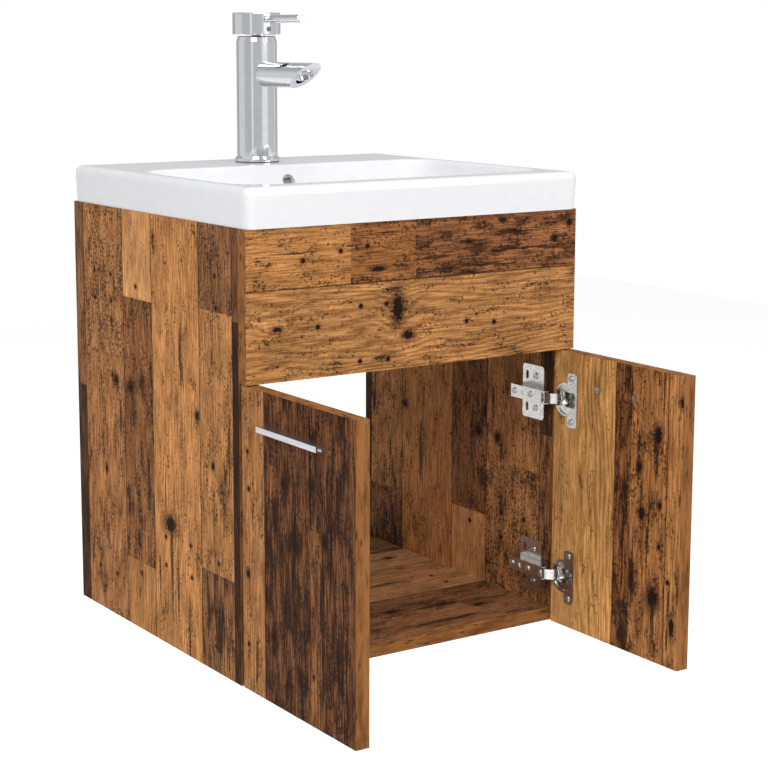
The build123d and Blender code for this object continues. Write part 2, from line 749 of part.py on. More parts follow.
# Waste: flanged body with overflow slots and a bridge for the plug's stem
flange_z = rim_z - bowl_depth
tail_z = rim_z - waste_tail_drop
bridge_z = rim_z - boss_bottom - bridge_height
with BuildPart() as waste_body:
    with Locations((0, drain_y, flange_z)):
        Cylinder(waste_flange_radius, waste_flange_thickness, align=CENTRE_MAX)
    with Locations((0, drain_y, tail_z)):
        Cylinder(waste_tail_radius, waste_tail_length, align=CENTRE_MIN)
    with Locations((0, drain_y, tail_z + waste_tail_length)):
        Cylinder(waste_thread_radius, flange_z - tail_z - waste_tail_length - waste_flange_thickness / 2,
                 align=CENTRE_MIN)
    with Locations((0, drain_y, tail_z)):
        Cylinder(waste_bore_radius, flange_z - tail_z, align=CENTRE_MIN, mode=Mode.SUBTRACT)
    slot_z = rim_z - duct_floor - duct_gap / 2 + 2
    with Locations((0, drain_y, slot_z)):
        Box(2 * waste_flange_radius, waste_bore_radius, duct_gap, mode=Mode.SUBTRACT)
        Box(waste_bore_radius, 2 * waste_thread_radius + 2, duct_gap, mode=Mode.SUBTRACT)
    with Locations((0, drain_y, bridge_z)):
        Cylinder(2 * plug_stem_radius, bridge_height, align=CENTRE_MIN)
        Box(2 * (waste_bore_radius + 1), 4, bridge_height, align=CENTRE_MIN)
        Cylinder(plug_stem_radius + running_gap, bridge_height, align=CENTRE_MIN, mode=Mode.SUBTRACT)
keep(waste_body.part, "waste_body")

with BuildPart() as waste_plug:
    cap_z = flange_z + plug_lift
    with Locations((0, drain_y, cap_z)):
        Cylinder(plug_radius, plug_thickness, align=CENTRE_MIN)
    fillet(waste_plug.edges().group_by(Axis.Z)[-1], 0.6 * plug_thickness)
    with Locations((0, drain_y, bridge_z - 2)):
        Cylinder(plug_stem_radius, cap_z - bridge_z + 2, align=CENTRE_MIN)
keep(waste_plug.part, "waste_plug")

boss_z = rim_z - boss_bottom
with BuildPart() as waste_seal:
    with Locations((0, drain_y, boss_z)):
        Cylinder(waste_nut_radius - 1, waste_seal_thickness, align=CENTRE_MAX)
        Cylinder(waste_thread_radius + snug, 3 * waste_seal_thickness, mode=Mode.SUBTRACT)
keep(waste_seal.part, "waste_seal")

with BuildPart() as waste_nut:
    with Locations((0, drain_y, boss_z - waste_seal_thickness)):
        Cylinder(waste_nut_radius, waste_nut_height, align=CENTRE_MAX)
        with PolarLocations(waste_nut_radius, 6):
            Cylinder(3, waste_nut_height, align=CENTRE_MAX)
        Cylinder(waste_thread_radius + snug, 3 * waste_nut_height, mode=Mode.SUBTRACT)
keep(waste_nut.part, "waste_nut")


# Mixer tap
def tap_place(height, x=0, y=0):
    return Location((x, tap_y + y, rim_z + height))


def turned(points):
    """A solid of revolution about the tap's axis from (radius, height) points."""
    with BuildSketch(Plane(origin=(0, tap_y, rim_z), x_dir=(1, 0, 0), z_dir=(0, -1, 0))) as section:
        with BuildLine():
            Polyline(*points, close=True)
        make_face()
    revolve(section.sketch, axis=Axis((0, tap_y, 0), (0, 0, 1)))


outlet_normal = (0, -sin(radians(outlet_tilt)), -cos(radians(outlet_tilt)))
outlet_run = 2 * spout_radius / sin(radians(outlet_tilt)) * cos(radians(outlet_tilt))
outlet_middle = (0, tap_y - spout_reach + outlet_run / 2, rim_z + spout_height)
outlet_plane = Plane(origin=outlet_middle, x_dir=(1, 0, 0), z_dir=outlet_normal)
spout_plane = Plane(origin=(0, tap_y, rim_z + spout_height), x_dir=(1, 0, 0), z_dir=(0, -1, 0))
base_floor = inlet_depth + tap_web

with BuildPart() as tap_body:
    turned([(0, gasket_thickness), (tap_base_radius, gasket_thickness),
            (tap_base_radius, tap_base_height), (tap_radius, tap_base_height + 3),
            (tap_radius, tap_shoulder), (tap_neck_radius, tap_top), (0, tap_top)])
    with Locations(tap_place(tap_floor)):
        Cylinder(tap_bore_radius, tap_top, align=CENTRE_MIN, mode=Mode.SUBTRACT)
    with Locations(tap_place(base_floor)):
        Cylinder(tap_bore_radius, tap_floor - base_floor - tap_web, align=CENTRE_MIN, mode=Mode.SUBTRACT)
    with Locations(tap_place(tap_floor)):
        with PolarLocations(tap_bore_radius / 2, 3, start_angle=90):
            Cylinder(water_hole_radius, 3 * tap_web, mode=Mode.SUBTRACT)
    with Locations(spout_plane.offset(spout_seat).location):
        Cylinder(spout_radius + snug, tap_radius, align=CENTRE_MIN, mode=Mode.SUBTRACT)
    with Locations(spout_plane.location * Location((0, -spout_bore_drop, 0))):
        Cylinder(spout_bore_radius, tap_radius, align=CENTRE_MIN, mode=Mode.SUBTRACT)
    for x in (-inlet_spread, inlet_spread):
        with Locations(tap_place(gasket_thickness, x, inlet_setback)):
            Cylinder(inlet_radius, inlet_depth, align=CENTRE_MIN, mode=Mode.SUBTRACT)
            Cylinder(inlet_radius - 1.5, 2 * inlet_depth, align=CENTRE_MIN, mode=Mode.SUBTRACT)
    with Locations(tap_place(gasket_thickness, 0, -stud_setback)):
        Cylinder(stud_radius + snug, inlet_depth, align=CENTRE_MIN, mode=Mode.SUBTRACT)
keep(tap_body.part, "tap_body")

with BuildPart() as tap_spout:
    with BuildSketch(spout_plane.offset(spout_seat)):
        Circle(spout_radius)
    extrude(amount=spout_reach - spout_seat)
    split(bisect_by=outlet_plane, keep=Keep.BOTTOM)
    with BuildSketch(spout_plane.offset(spout_seat)):
        with Locations((0, -spout_bore_drop)):
            Circle(spout_bore_radius)
    extrude(amount=tap_y - outlet_middle[1] - spout_seat, mode=Mode.SUBTRACT)
    with Locations(outlet_plane.location):
        Cylinder(aerator_radius + snug, aerator_length, align=CENTRE_MAX, mode=Mode.SUBTRACT)
keep(tap_spout.part, "tap_spout")

with BuildPart() as tap_gasket:
    with Locations(tap_place(0)):
        Cylinder(tap_base_radius - 1, gasket_thickness, align=CENTRE_MIN)
        Cylinder(tap_hole_radius, 3 * gasket_thickness, mode=Mode.SUBTRACT)
keep(tap_gasket.part, "tap_gasket")

with BuildPart() as tap_aerator:
    with Locations(outlet_plane.location):
        Cylinder(aerator_radius, aerator_length, align=CENTRE_MAX)
        Cylinder(aerator_radius - 0.6, 1, align=CENTRE_MIN)
        Cylinder(aerator_radius - 2, 4, mode=Mode.SUBTRACT)
        with Locations((0, 0, -aerator_length)):
            Cylinder(aerator_radius - 2, aerator_length - 4, align=CENTRE_MIN, mode=Mode.SUBTRACT)
        with GridLocations(3, 3, 5, 5):
            Box(1.6, 1.6, 2 * aerator_length, mode=Mode.SUBTRACT)
keep(tap_aerator.part, "tap_aerator")

with BuildPart() as tap_cartridge:
    with Locations(tap_place(tap_floor)):
        Cylinder(tap_bore_radius - running_gap, cartridge_top - tap_floor, align=CENTRE_MIN)
        with PolarLocations(tap_bore_radius / 2, 3, start_angle=90):
            Cylinder(3, 2 * (cartridge_seat - tap_floor - 4), mode=Mode.SUBTRACT)
    with Locations(tap_place(cartridge_seat)):
        Cylinder(spindle_radius + running_gap, cartridge_top, align=CENTRE_MIN, mode=Mode.SUBTRACT)
keep(tap_cartridge.part, "tap_cartridge")

with BuildPart() as cartridge_nut:
    with Locations(tap_place(cartridge_top)):
        Cylinder(tap_bore_radius - running_gap, nut_height, align=CENTRE_MIN)
        Cylinder(spindle_radius + 1, 3 * nut_height, mode=Mode.SUBTRACT)
    with Locations(tap_place(cartridge_top + nut_height)):
        with PolarLocations(tap_bore_radius, 4):
            Box(4, 3, nut_height, mode=Mode.SUBTRACT)
keep(cartridge_nut.part, "cartridge_nut")

with BuildPart() as tap_spindle:
    with Locations(tap_place(cartridge_seat + 0.1)):
        Cylinder(spindle_radius, spindle_top - cartridge_seat - 0.1, align=CENTRE_MIN)
    with Locations(tap_place(slot_floor)):
        Box(lever_stem + 2 * working_clearance, 3 * spindle_radius, spindle_top, align=CENTRE_MIN,
            mode=Mode.SUBTRACT)
    with Locations(tap_place(lift_axis_height)):
        Cylinder(trunnion_radius + running_gap, 3 * spindle_radius, rotation=(0, 90, 0),
                 mode=Mode.SUBTRACT)
keep(tap_spindle.part, "tap_spindle")

with BuildPart() as lever_stem_part:
    with Locations(tap_place(stem_bottom)):
        Box(lever_stem, lever_stem, stem_top - stem_bottom, align=CENTRE_MIN)
    with Locations(tap_place(lift_axis_height)):
        Cylinder(trunnion_radius, 2 * (spindle_radius - 1.5), rotation=(0, 90, 0))
keep(lever_stem_part.part, "lever_stem")

lever_plane = Plane(origin=(0, tap_y, rim_z + lever_height), x_dir=(1, 0, 0), z_dir=(0, -1, 0))
thread_radius = lever_radius - 1.5
rod_start = cap_radius - 0.45
index_plane = Plane(origin=(0, tap_y - cap_radius, rim_z + index_height), x_dir=(1, 0, 0),
                    z_dir=(0, -1, 0))
with BuildPart() as lever_cap:
    turned([(0, cap_bottom), (cap_radius - 1.5, cap_bottom), (cap_radius, cap_bottom + 1.5),
            (cap_radius, cap_top - 1), (cap_radius - 1, cap_top), (0, cap_top)])
    with Locations(tap_place(cap_bottom)):
        Cylinder(cap_radius - cap_wall, cap_ceiling - cap_bottom, align=CENTRE_MIN,
                 mode=Mode.SUBTRACT)
    with Locations(tap_place(boss_bottom_height)):
        Cylinder(lever_stem + 1, cap_top - 2 - boss_bottom_height, align=CENTRE_MIN)
        Box(lever_stem + 2 * snug, lever_stem + 2 * snug, stem_top - boss_bottom_height + snug,
            align=CENTRE_MIN, mode=Mode.SUBTRACT)
    with Locations(lever_plane.offset(cap_radius - cap_wall / 2).location):
        Cylinder(thread_radius + snug, 2 * cap_wall, mode=Mode.SUBTRACT)
    with Locations(lever_plane.offset(rod_start).location):
        Cylinder(lever_radius + snug, cap_wall, align=CENTRE_MIN, mode=Mode.SUBTRACT)
    with Locations(index_plane.location):
        Cylinder(index_radius + snug, 2 * cap_wall - 1, mode=Mode.SUBTRACT)
keep(lever_cap.part, "lever_cap")

with BuildPart() as lever_rod:
    with Locations(lever_plane.offset(rod_start).location):
        Cylinder(lever_radius, lever_reach - rod_start, align=CENTRE_MIN)
    chamfer(lever_rod.edges().sort_by(Axis.Y)[0], 1.4)
    with Locations(lever_plane.offset(rod_start).location):
        Cylinder(thread_radius, cap_wall - 0.6, align=CENTRE_MAX)
keep(lever_rod.part, "lever_rod")

with BuildPart() as index_plug:
    with Locations(index_plane.location):
        Cylinder(index_radius, cap_wall - 1, align=CENTRE_MAX)
keep(index_plug.part, "index_plug")

with BuildPart() as tap_stud:
    with Locations(tap_place(gasket_thickness + inlet_depth - snug, 0, -stud_setback)):
        Cylinder(stud_radius, stud_length, align=CENTRE_MAX)
keep(tap_stud.part, "tap_stud")

deck_underside = -deck_thickness
with BuildPart() as tap_fixing_washer:
    with Locations(tap_place(deck_underside)):
        Cylinder(washer_radius, washer_thickness, align=CENTRE_MAX)
    with Locations(tap_place(deck_underside, 0, inlet_setback)):
        Box(2 * (inlet_spread + inlet_radius + 2), 2 * (inlet_radius + 2), 3 * washer_thickness,
            mode=Mode.SUBTRACT)
        Box(2 * (inlet_spread + inlet_radius + 2), 3 * washer_radius, 3 * washer_thickness,
            align=(Align.CENTER, Align.MIN, Align.CENTER), mode=Mode.SUBTRACT)
    with Locations(tap_place(deck_underside, 0, -stud_setback)):
        Cylinder(stud_radius + snug, 3 * washer_thickness, mode=Mode.SUBTRACT)
keep(tap_fixing_washer.part, "tap_fixing_washer")

with BuildPart() as tap_fixing_nut:
    with BuildSketch(Plane.XY.offset(rim_z + deck_underside - washer_thickness)):
        with Locations((0, tap_y - stud_setback)):
            RegularPolygon(6.5, 6, major_radius=False)
            Circle(stud_radius + snug, mode=Mode.SUBTRACT)
    extrude(amount=-16)
keep(tap_fixing_nut.part, "tap_fixing_nut")

os.makedirs("parts", exist_ok=True)
for name, part in parts.items():
    export_step(part, f"parts/{name}.step")
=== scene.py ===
import json
import math

import bpy
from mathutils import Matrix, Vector

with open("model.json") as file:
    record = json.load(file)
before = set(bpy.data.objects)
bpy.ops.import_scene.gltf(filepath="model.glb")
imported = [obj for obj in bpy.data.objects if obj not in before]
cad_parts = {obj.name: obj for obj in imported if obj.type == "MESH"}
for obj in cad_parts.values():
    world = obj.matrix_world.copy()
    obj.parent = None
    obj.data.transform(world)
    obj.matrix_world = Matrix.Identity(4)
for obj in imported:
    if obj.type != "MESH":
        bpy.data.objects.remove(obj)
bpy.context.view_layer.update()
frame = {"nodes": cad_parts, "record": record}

nodes = frame["nodes"]
slot_of = {part["node"]: part["material_slot"] for part in frame["record"]["subparts"]}

# Camera: the photograph's viewing angle, from the front left and slightly above
view_place = (-1.0887, -1.9229, 0.2219)
view_turn = 33.23
view_drop = 9.19
view_lens = 87.16
view_shift = (0.04, -0.06)
sensor_width = 36
far_clip = 50

lens = bpy.data.cameras.new("camera")
lens.lens = view_lens
lens.sensor_width = sensor_width
lens.shift_x, lens.shift_y = view_shift
lens.clip_end = far_clip
camera = bpy.data.objects.new("camera", lens)
bpy.context.scene.collection.objects.link(camera)
camera.location = view_place
camera.rotation_euler = (math.radians(90 - view_drop), 0, math.radians(-view_turn))
bpy.context.scene.camera = camera


# ---------------------------------------------------------------- small tools

def linear(code):
    """sRGB hex colour as linear red, green, blue, alpha."""
    parts = [int(code[i:i + 2], 16) / 255 for i in (1, 3, 5)]
    return tuple(p / 12.92 if p <= 0.04045 else ((p + 0.055) / 1.055) ** 2.4 for p in parts) + (1,)


def add(tree, kind, inputs=None, **settings):
    """Adds one shader node with its settings, and sets or links its inputs."""
    new = tree.nodes.new("ShaderNode" + kind)
    for name, value in settings.items():
        setattr(new, name, value)
    for key, value in (inputs or {}).items():
        if isinstance(value, bpy.types.Node):
            value = value.outputs[0]
        if isinstance(value, bpy.types.NodeSocket):
            tree.links.new(value, new.inputs[key])
        else:
            new.inputs[key].default_value = value
    return new


def new_material(name):
    """An empty material with its shader and output."""
    material = bpy.data.materials.new(name)
    material.use_nodes = True
    tree = material.node_tree
    tree.nodes.clear()
    shader = add(tree, "BsdfPrincipled")
    add(tree, "OutputMaterial", {0: shader})
    return material, tree, shader


# ---------------------------------------------------------------- old-plank laminate

# Each printed sheet lists its planks as (across from, to, along from, to, light, dark, grain, speck,
# weather), in millimetres on the board. Later planks lie over earlier ones. Then the joints between
# planks by their place across, knots and cracks as (across, along, half width, half length), and nail
# holes as (across, along).
side_sheet = {
    "planks": (
        (-400, 10, -430, 50, "#dc9c62", "#a96e39", 0.7, 0.42, 0.25),
        (-22, 10, -168, 50, "#9f6e49", "#6b452a", 0.5, 0.5, 0.5),
        (-22, 10, -430, -168, "#6b472e", "#2c1a10", 0.6, 0.5, 0.7),
        (-119, -22, -122, 50, "#c9905c", "#965f36", 0.4, 1.0, 0.3),
        (-119, -22, -430, -122, "#c68b57", "#8d5831", 0.6, 0.65, 0.4),
        (-186, -119, -54, 50, "#e0a46d", "#b87f49", 0.4, 0.1, 0.05),
        (-186, -119, -344, -54, "#ad7548", "#75492a", 0.8, 0.85, 0.45),
        (-186, -119, -430, -344, "#c38b55", "#955f30", 0.6, 0.2, 0.2),
        (-358, -290, -47, 50, "#a8734b", "#6a452d", 0.6, 0.85, 0.5),
        (-358, -290, -316, -47, "#cf935b", "#9a653a", 0.6, 0.6, 0.35),
        (-358, -290, -430, -316, "#b27b4c", "#5c3a22", 0.9, 0.6, 0.6),
        (-400, -358, -430, -52, "#6b442b", "#23140c", 0.8, 0.5, 1.0),
        (-400, -358, -52, 50, "#8b5b3a", "#563525", 0.7, 0.3, 0.5),
    ),
    "seams": (-22, -119, -186, -290, -358),
    "knots": (
        (-99, -150, 6, 7), (-134, -152, 7, 7), (-284, -159, 5, 6), (-222, -286, 15, 11),
        (-316, -205, 4, 5), (-70, -255, 4, 5),
    ),
    "cracks": (
        (-224, -335, 3, 52), (-238, -352, 2.2, 40), (-262, -392, 2.5, 34), (-174, -252, 3.5, 34),
        (-143, -99, 2, 9), (-126, -286, 3, 16), (-316, -98, 1.6, 14), (-330, -372, 9, 34),
        (-303, -350, 3, 42), (-250, -100, 5, 34), (-108, -190, 3, 22), (-60, -320, 2, 14),
        (-212, -252, 2, 26), (-350, -180, 2.5, 40), (-197, -350, 2, 30),
    ),
    "nails": (
        (-49, -33), (-90, -34), (-49, -64), (-90, -63), (-150, -41), (-150, -325), (-153, -356),
        (-211, -302), (-211, -333), (-266, -299), (-268, -333), (-324, -11), (-326, -43),
        (-326, -304), (-49, -372), (-92, -372),
    ),
}
front_sheet = {
    "planks": (
        (-130, -21, -230, 230, "#c68f57", "#8f5d33", 1.3, 0.42, 0.2),
        (-21, 60, -230, -84, "#cb9058", "#986231", 0.6, 0.45, 0.15),
        (-21, 60, -84, -5, "#ac713f", "#764a28", 0.6, 0.65, 0.4),
        (-21, 60, -5, 230, "#a36b41", "#6b4228", 0.8, 0.75, 0.45),
    ),
    "seams": (-21,),
    "knots": (
        (-50, -27, 19, 8), (-78, -14, 6, 8), (-60, -170, 3, 7), (26, 196, 5, 4), (13, 62, 3, 6),
        (33, 106, 3, 6), (10, 176, 4, 5), (-8, -52, 3, 10),
    ),
    "cracks": (
        (-1, 14, 1.2, 20), (4, 34, 1.5, 12), (-30, -34, 3, 12), (20, 120, 3, 30), (2, 150, 2.5, 34),
        (-12, 90, 2, 30), (28, -40, 1.5, 14), (-20, 60, 1.6, 40), (14, -150, 1.2, 20),
    ),
    "nails": (
        (13, -96), (16, -64), (-44, -72), (-44, -41), (-61, -123), (-100, -73), (-101, -39),
        (6, -140), (-70, 60), (-74, 96),
    ),
}
left_door_sheet = {
    "planks": (
        (-600, -416, -430, -100, "#8f5b37", "#3e2416", 0.6, 0.8, 0.75),
        (-416, -360, -430, -100, "#c18955", "#915d34", 0.6, 0.4, 0.3),
        (-520, -500, -430, -230, "#a06a40", "#57351f", 0.8, 0.5, 0.5),
        (-600, -566, -430, -100, "#8d5b38", "#54321e", 0.7, 0.5, 0.7),
    ),
    "seams": (-416,),
    "knots": ((-384, -300, 4, 5), (-452, -196, 5, 6), (-432, -352, 5, 5), (-524, -236, 6, 9)),
    "cracks": (
        (-552, -340, 10, 60), (-550, -182, 8, 24), (-470, -260, 5, 46), (-500, -180, 4, 36),
        (-455, -330, 3, 44), (-520, -300, 4, 60), (-484, -390, 6, 30), (-420, -270, 3, 60),
        (-536, -240, 3, 44), (-440, -180, 3, 30), (-400, -380, 3, 30),
    ),
    "nails": ((-384, -177), (-386, -214), (-384, -372), (-470, -152), (-505, -371)),
}
right_door_sheet = {
    "planks": (
        (-600, -555, -430, -100, "#d1955a", "#9c6335", 0.5, 0.3, 0.3),
        (-475, -414, -430, -100, "#dba463", "#a8733d", 1.4, 0.12, 0.08),
        (-414, -360, -430, -100, "#d8a163", "#b07c44", 0.6, 0.1, 0.05),
        (-555, -500, -430, -100, "#c3844e", "#885630", 0.6, 0.7, 0.4),
        (-500, -475, -430, -100, "#a56b3f", "#633a20", 0.8, 0.8, 0.7),
    ),
    "seams": (-475, -555),
    "knots": (
        (-513, -217, 5, 7), (-541, -179, 6, 11), (-538, -352, 10, 14), (-518, -266, 5, 8),
        (-567, -376, 5, 12), (-545, -252, 3, 5), (-575, -140, 3, 7),
    ),
    "cracks": (
        (-499, -150, 1.4, 34), (-518, -242, 2, 16), (-505, -330, 2, 40), (-538, -378, 4, 22),
        (-562, -352, 2, 20), (-548, -130, 2, 20), (-560, -392, 2, 12), (-490, -300, 2, 60),
        (-575, -240, 2, 10), (-528, -290, 2, 22),
    ),
    "nails": ((-545, -296), (-560, -330)),
}
floor_sheet = {
    "planks": (
        (-400, -250, -230, 230, "#ba8056", "#845937", 0.7, 0.5, 0.45),
        (-250, -150, -230, 230, "#e3ab76", "#b57d49", 0.6, 0.15, 0.1),
        (-150, -86, -230, 230, "#e8b27e", "#bd8756", 0.5, 0.2, 0.1),
        (-86, 10, -230, 230, "#ad7c56", "#7c5237", 0.7, 0.5, 0.5),
    ),
    "seams": (-86, -150, -250),
    "knots": ((-290, 30, 5, 9), (-320, 130, 5, 8), (-110, 150, 4, 8), (-60, -60, 5, 8)),
    "cracks": (
        (-346, 60, 4, 60), (-340, -90, 4, 50), (-300, 100, 2, 34), (-200, 80, 2, 40),
        (-270, -40, 3, 40), (-50, 120, 3, 40),
    ),
    "nails": ((-200, 150), (-230, 150), (-120, -120), (-60, 60), (-300, -150), (-330, -150)),
}
rail_sheet = {
    "planks": (
        (-60, 4, -230, 230, "#ba8256", "#8a5a38", 0.6, 0.4, 0.3),
        (4, 60, -230, 230, "#ce9560", "#9d683d", 0.7, 0.15, 0.1),
    ),
    "seams": (4,),
    "knots": ((-18, -80, 5, 9), (22, 100, 5, 8)),
    "cracks": ((-10, 40, 2, 34), (16, -140, 2, 20)),
    "nails": ((-6, 150), (-30, 150), (20, -30)),
}

millimetres = 1000  # in a metre, which is what an object's own coordinates are in
half_turn_shift = (0, -371, -380)  # brings a sheet turned half round back onto its board

# Widths and radii in millimetres
seam_width = 1.5
nail_radius = 2.6
nail_rim = (nail_radius - 0.5, nail_radius + 0.3)
rust_radius = 6.0
ring_spacing = 6.5
ring_drift = 70.0  # how far slow noise carries the growth lines
knot_bend = 9.0  # how far a knot pushes them aside
edge_wander = 1.6
plank_shift = 61.0  # each plank's grain starts this much further along than the last one's

# Noise detail per millimetre: one number, or across, along and through the board
wander_pitch = 0.35
slow_grain = (0.016, 0.0045, 0.01)
fine_grain = (0.75, 0.026, 0.4)
cloud_pitch = (0.05, 0.017, 0.04)
worn_pitch = (0.045, 0.017, 0.03)
fleck_pitch = (0.42, 0.27, 0.42)
tick_pitch = (0.34, 0.055, 0.34)
band_pitch = (0.06, 0.02, 0.12)
dash_pitch = (0.045, 0.045, 0.22)

# Where each mark is at full and at none, in its noise or in its own half sizes
grain_span = (0.64, 0.36)
worn_span = (0.98, 0.78)
fleck_span = (0.92, 0.84)
tick_span = (0.05, 0.24)
tick_choice = (0.9, 0.5)  # which of the ticks are drawn
knot_reach_bend = (0.6, 4.0)
knot_rim = (0.9, 1.9)
knot_core = (0.55, 1.0)
crack_span = (0.35, 1.0)
band_span = (0.68, 0.40)
dash_span = (0.10, 0.26)

# How strongly one noise moves another's level
mark_wander = 1.5
ring_weight = 0.055
crack_level, crack_weight = 0.44, 4.0
worn_pore_weight = 0.35
worn_weight = 0.26
crowd_weight = 0.45
fleck_weight = 0.13

# How dark each mark is drawn, 1 being solid
worn_strength = 0.85
speck_strength = 0.8
rim_strength = 0.55
crack_strength = 0.8
rust_strength = 0.45
seam_strength = 0.75
dash_strength = 0.8

noise_low, noise_high = 0.3, 0.7  # the part of a noise's range that it mostly fills
cloud_low, cloud_high = 0.34, 0.68
cloud_dark, cloud_pale = 0.55, 1.32
film_relief = 0.00012
film_relief_strength = 0.35
film_gloss = (0.62, 0.78)
film_specular = 0.08

dark_mark = "#1f110a"
worn_brown = "#2e1a10"
rust_brown = "#5b3820"
band_light = "#976437"
band_dark = "#643e20"


def nearest(tree, place, marks, ragged):
    """Distance to the nearest of the marks, 1 at the edge of each, with ragged edges."""
    best = None
    for across, along, wide, long in marks:
        offset = add(tree, "VectorMath", {0: place, 1: (across, along, 0)}, operation="SUBTRACT")
        scaled = add(tree, "VectorMath", {0: offset, 1: (1 / wide, 1 / long, 0)}, operation="MULTIPLY")
        reach = add(tree, "VectorMath", {0: scaled}, operation="LENGTH").outputs[1]
        if best is None:
            best = reach
        else:
            best = add(tree, "Math", {0: best, 1: reach}, operation="MINIMUM").outputs[0]
    return add(tree, "Math", {0: best, 1: ragged}, operation="ADD")


def fade(tree, value, full, none):
    """1 where value is at full, 0 at none, smooth between."""
    return add(tree, "MapRange", {0: value, 1: none, 2: full, 3: 0.0, 4: 1.0},
               interpolation_type="SMOOTHSTEP")


def plank_laminate(name, across, along, sheet, turned=False):
    """Melamine-faced board printed as old planks: satin, pores and cracks slightly sunk."""
    material, tree, shader = new_material(name)
    axes = "XYZ"
    through = (set(axes) - {across, along}).pop()
    object_place = add(tree, "TexCoord").outputs["Object"]
    sign = -millimetres if turned else millimetres
    place = add(tree, "Mapping", {
        "Vector": object_place,
        "Location": half_turn_shift if turned else (0, 0, 0),
        "Scale": (millimetres, sign, sign),
    })
    split = add(tree, "SeparateXYZ", {0: place})
    u, v, w = (split.outputs[axes.index(a)] for a in (across, along, through))

    # A slow wander keeps plank edges and marks from being drawn with a ruler
    flat = add(tree, "CombineXYZ", {0: u, 1: v, 2: w})
    rough = add(tree, "TexNoise", {"Vector": flat, "Scale": wander_pitch, "Detail": 3.0,
                                   "Roughness": 0.6})
    ragged = add(tree, "Math", {0: rough.outputs[0], 1: 0.5}, operation="SUBTRACT")
    u_rough = add(tree, "Math", {0: ragged, 1: edge_wander, 2: u}, operation="MULTIPLY_ADD")

    # Plank colours, and in one colour the strength of grain, speck and weathering
    light = dark = amounts = shift = None
    for number, (a0, a1, b0, b1, pale, deep, grain, speck, weather) in enumerate(sheet["planks"]):
        if light is None:
            light, dark = linear(pale), linear(deep)
            amounts = (grain, speck, weather, 1)
            shift = 0.0
            continue
        wide = add(tree, "Math", {0: u_rough, 1: (a0 + a1) / 2, 2: (a1 - a0) / 2},
                   operation="COMPARE")
        long = add(tree, "Math", {0: v, 1: (b0 + b1) / 2, 2: (b1 - b0) / 2}, operation="COMPARE")
        inside = add(tree, "Math", {0: wide, 1: long}, operation="MULTIPLY")
        light = add(tree, "MixRGB", {0: inside, 1: light, 2: linear(pale)})
        dark = add(tree, "MixRGB", {0: inside, 1: dark, 2: linear(deep)})
        amounts = add(tree, "MixRGB", {0: inside, 1: amounts, 2: (grain, speck, weather, 1)})
        shift = add(tree, "Math", {0: inside, 1: plank_shift * number, 2: shift},
                    operation="MULTIPLY_ADD")
    amount = add(tree, "SeparateColor", {0: amounts})

    # Knots, cracks and nail holes
    mark_place = add(tree, "CombineXYZ", {0: u, 1: v, 2: 0.0})
    wander = add(tree, "Math", {0: ragged, 1: mark_wander}, operation="MULTIPLY")
    knot_reach = nearest(tree, mark_place, sheet["knots"], wander)
    nail_marks = [(a, b, 1, 1) for a, b in sheet["nails"]]
    nail_reach = nearest(tree, mark_place, nail_marks, ragged)

    # Grain: growth lines that bend round the knots, and fine pores along the plank
    along_shifted = add(tree, "Math", {0: v, 1: shift}, operation="ADD")
    grain_place = add(tree, "CombineXYZ", {0: u, 1: along_shifted, 2: w})
    slow_place = add(tree, "VectorMath", {0: grain_place, 1: slow_grain}, operation="MULTIPLY")
    slow = add(tree, "TexNoise", {"Vector": slow_place, "Scale": 1.0, "Detail": 2.0,
                                  "Roughness": 0.45})
    bend = fade(tree, knot_reach, *knot_reach_bend)
    bent = add(tree, "Math", {0: bend, 1: knot_bend, 2: u}, operation="MULTIPLY_ADD")
    ring_place = add(tree, "Math", {0: slow.outputs[0], 1: ring_drift, 2: bent},
                     operation="MULTIPLY_ADD")
    ring_turn = add(tree, "Math", {0: ring_place, 1: 2 * math.pi / ring_spacing},
                    operation="MULTIPLY")
    ring_wave = add(tree, "Math", {0: ring_turn}, operation="SINE")
    pore_place = add(tree, "VectorMath", {0: grain_place, 1: fine_grain}, operation="MULTIPLY")
    pores = add(tree, "TexNoise", {"Vector": pore_place, "Scale": 1.0, "Detail": 4.0,
                                   "Roughness": 0.65})
    ring_part = add(tree, "Math", {0: ring_wave, 1: amount.outputs[0]}, operation="MULTIPLY")
    grain_sum = add(tree, "Math", {0: ring_part, 1: ring_weight, 2: pores.outputs[0]},
                    operation="MULTIPLY_ADD")
    grain_tone = fade(tree, grain_sum, *grain_span)
    colour = add(tree, "MixRGB", {0: grain_tone, 1: light, 2: dark})

    # Stains: lighter and darker clouds over each plank, and cracks that follow the pores
    cloud_place = add(tree, "VectorMath", {0: grain_place, 1: cloud_pitch}, operation="MULTIPLY")
    cloud = add(tree, "TexNoise", {"Vector": cloud_place, "Scale": 1.0, "Detail": 8.0,
                                   "Roughness": 0.75})
    cloud_tone = add(tree, "MapRange", {0: cloud.outputs[0], 1: cloud_low, 2: cloud_high,
                                        3: cloud_dark, 4: cloud_pale})
    colour = add(tree, "MixRGB", {0: 1.0, 1: colour, 2: cloud_tone}, blend_type="MULTIPLY")
    fibre = add(tree, "Math", {0: crack_level, 1: pores.outputs[0]}, operation="SUBTRACT")
    split_wander = add(tree, "Math", {0: fibre, 1: crack_weight, 2: wander},
                       operation="MULTIPLY_ADD")
    crack_reach = nearest(tree, mark_place, sheet["cracks"], split_wander)

